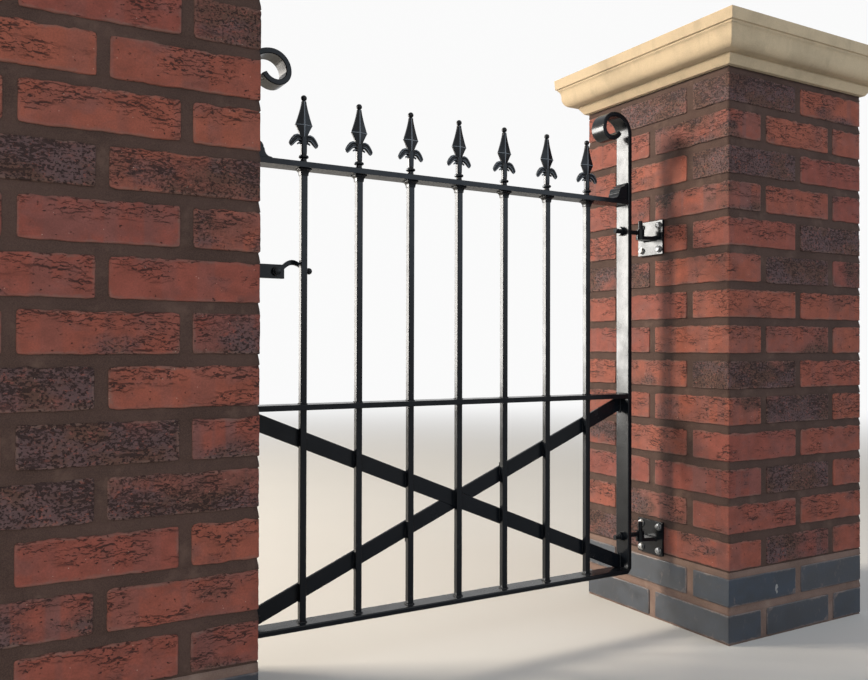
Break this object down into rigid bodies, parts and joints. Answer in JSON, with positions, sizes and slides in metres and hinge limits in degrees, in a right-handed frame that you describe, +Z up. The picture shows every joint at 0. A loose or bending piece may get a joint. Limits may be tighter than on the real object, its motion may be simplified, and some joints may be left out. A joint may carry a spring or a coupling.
{
  "type": "single-leaf wrought iron entrance gate between brick piers",
  "caption": "Welded flat-bar entrance gate with square uprights, spear railheads, stile scrolls and crossed braces, on pin hinges between two capped brick piers.",
  "frame": {"origin": "on the ground, half way between the two piers and at the middle of their depth", "axes": "+X across the opening towards the hinge pier, +Y into the property, +Z up; the gate is closed at rest"},
  "size_m": [2.004, 0.564, 1.309],
  "materials": {
    "black_paint": "satin black exterior paint",
    "red_brick": "rustic wire-cut facing brick with buff mortar",
    "blue_brick": "smooth dense engineering brick",
    "cast_stone": "fine-grained cast stone"
  },
  "bodies": {
    "piers": {"left_pier_brickwork": "red_brick", "right_pier_brickwork": "red_brick", "left_pier_plinth": "blue_brick", "right_pier_plinth": "blue_brick", "left_pier_cap": "cast_stone", "right_pier_cap": "cast_stone", "upper_hinge_plate": "black_paint", "lower_hinge_plate": "black_paint", "upper_hinge_pin": "black_paint", "lower_hinge_pin": "black_paint", "latch_catch": "black_paint"},
    "gate": {"latch_stile": "black_paint", "hinge_stile": "black_paint", "top_rail": "black_paint", "middle_rail": "black_paint", "bottom_rail": "black_paint", "bar_1": "black_paint", "bar_2": "black_paint", "bar_3": "black_paint", "bar_4": "black_paint", "bar_5": "black_paint", "bar_6": "black_paint", "bar_7": "black_paint", "railhead_1": "black_paint", "railhead_2": "black_paint", "railhead_3": "black_paint", "railhead_4": "black_paint", "railhead_5": "black_paint", "railhead_6": "black_paint", "railhead_7": "black_paint", "rail_collars": "black_paint", "long_brace": "black_paint", "upper_half_brace": "black_paint", "lower_half_brace": "black_paint", "latch_side_bracket": "black_paint", "hinge_side_bracket": "black_paint", "upper_eye_bolt": "black_paint", "lower_eye_bolt": "black_paint", "upper_eye_nuts": "black_paint", "lower_eye_nuts": "black_paint", "latch_plate": "black_paint", "latch_pivot": "black_paint"},
    "latch": {"latch_lever": "black_paint"}
  },
  "joints": [
    {"name": "gate_swing", "type": "hinge", "parent": "piers", "child": "gate", "pos_m": [0.464, 0, 0.5], "axis": [0, 0, -1], "range_deg": [0, 90]},
    {"name": "latch_lift", "type": "hinge", "parent": "gate", "child": "latch", "pos_m": [-0.393, 0.0234, 0.748], "axis": [0, 1, 0], "range_deg": [0, 14]}
  ]
}
